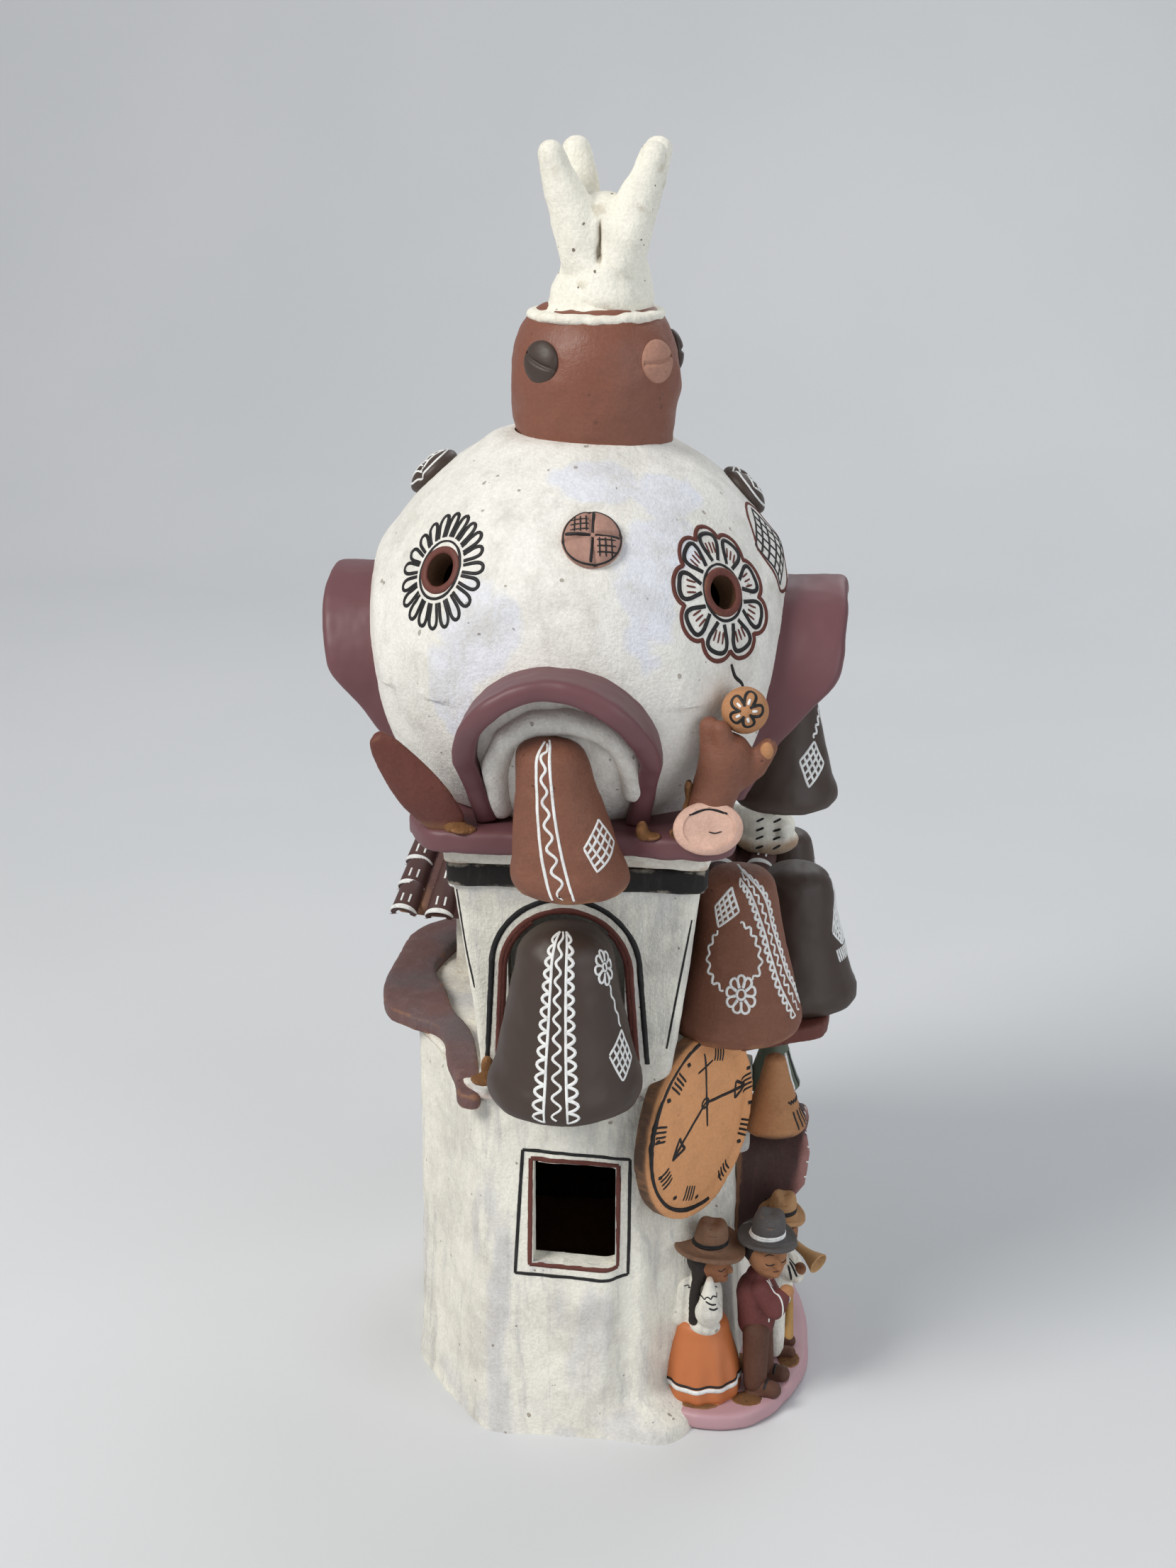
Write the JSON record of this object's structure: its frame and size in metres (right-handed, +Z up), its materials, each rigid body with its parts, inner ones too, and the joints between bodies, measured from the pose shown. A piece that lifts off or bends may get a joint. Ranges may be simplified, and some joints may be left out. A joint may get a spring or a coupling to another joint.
{
  "type": "clay church tower figurine",
  "caption": "Hand-built painted clay church with a round face-like dome, hanging bells, tiled roof, clock and a porch with small folk figures.",
  "frame": {"origin": "on the table below the dome's vertical axis", "axes": "+Z up, -Y out of the wall with the square window, +X out of the wall with the portal and the figures"},
  "size_m": [0.175, 0.2156, 0.4202],
  "materials": {
    "white_slip": "matte whitewash over clay, brushed",
    "purple_slip": "matte purple-brown slip",
    "tile_slip": "matte dark slip with pale strokes",
    "terracotta": "satin red-brown slip",
    "dark_slip": "matte dark slip with fine white brushwork",
    "green_slip": "matte green slip",
    "tan_clay": "bare fired clay",
    "red_slip": "matte brick-red slip",
    "lilac_slip": "matte lilac-pink slip",
    "orange_slip": "matte orange slip"
  },
  "bodies": {
    "root": {"floor_slab": "tan_clay", "front_wall": "white_slip", "clock_wall": "white_slip", "facade_wall": "white_slip", "rear_right_wall": "white_slip", "back_wall": "white_slip", "rear_left_wall": "white_slip", "left_wall": "white_slip", "diagonal_wall": "white_slip", "roof_plate": "white_slip", "left_ledge": "purple_slip", "right_ledge": "purple_slip", "belfry_front": "white_slip", "belfry_right": "white_slip", "belfry_back": "white_slip", "belfry_left": "white_slip", "belfry_band": "dark_slip", "belfry_cap": "white_slip", "dome_ledge": "purple_slip", "dome": "white_slip", "front_hood": "purple_slip", "right_hood": "purple_slip", "left_hood": "purple_slip", "rear_hood": "purple_slip", "tongue_bell": "terracotta", "right_dome_bell": "dark_slip", "front_bell": "dark_slip", "lace_bell": "terracotta", "side_bell": "dark_slip", "rear_side_bell": "dark_slip", "portal_bell": "tan_clay", "small_portal_bell": "green_slip", "portal_hood": "purple_slip", "nave_side_walls": "white_slip", "nave_gables": "white_slip", "roof_slabs": "purple_slip", "roof_tiles": "tile_slip", "dove": "white_slip", "corner_leaf": "red_slip", "cuff": "lilac_slip", "hand": "terracotta", "ball": "tan_clay", "dome_bosses": "dark_slip", "lantern": "terracotta", "lantern_buttons": "dark_slip", "crown": "white_slip", "clock": "tan_clay", "porch_slab": "lilac_slip", "woman_skirt": "orange_slip", "woman_torso": "white_slip", "woman_head": "tan_clay", "woman_hat": "tan_clay", "man_trousers": "dark_slip", "man_jacket": "purple_slip", "man_head": "tan_clay", "man_hat": "dark_slip", "player_body": "white_slip", "player_hat": "tan_clay", "horn": "tan_clay"}
  },
  "joints": []
}
